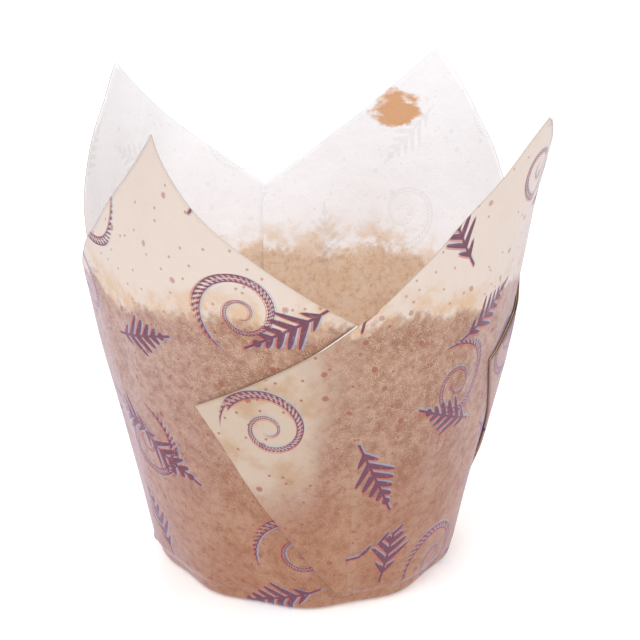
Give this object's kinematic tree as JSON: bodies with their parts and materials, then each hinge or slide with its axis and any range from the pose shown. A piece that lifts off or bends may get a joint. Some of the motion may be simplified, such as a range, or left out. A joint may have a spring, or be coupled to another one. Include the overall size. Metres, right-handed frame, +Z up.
{
  "type": "cupcake liner",
  "caption": "Tulip cupcake liner folded from one square sheet of baking paper, with a round flat base and tall pointed petals.",
  "frame": {"origin": "centre of the round base, on the surface the liner stands on", "axes": "+Z up, -Y towards the dart at the front"},
  "size_m": [0.0733, 0.0734, 0.0785],
  "materials": {
    "paper": "matt greaseproof paper, printed outside, browned by baking"
  },
  "bodies": {
    "root": {"liner_sheet": "paper"}
  },
  "joints": []
}
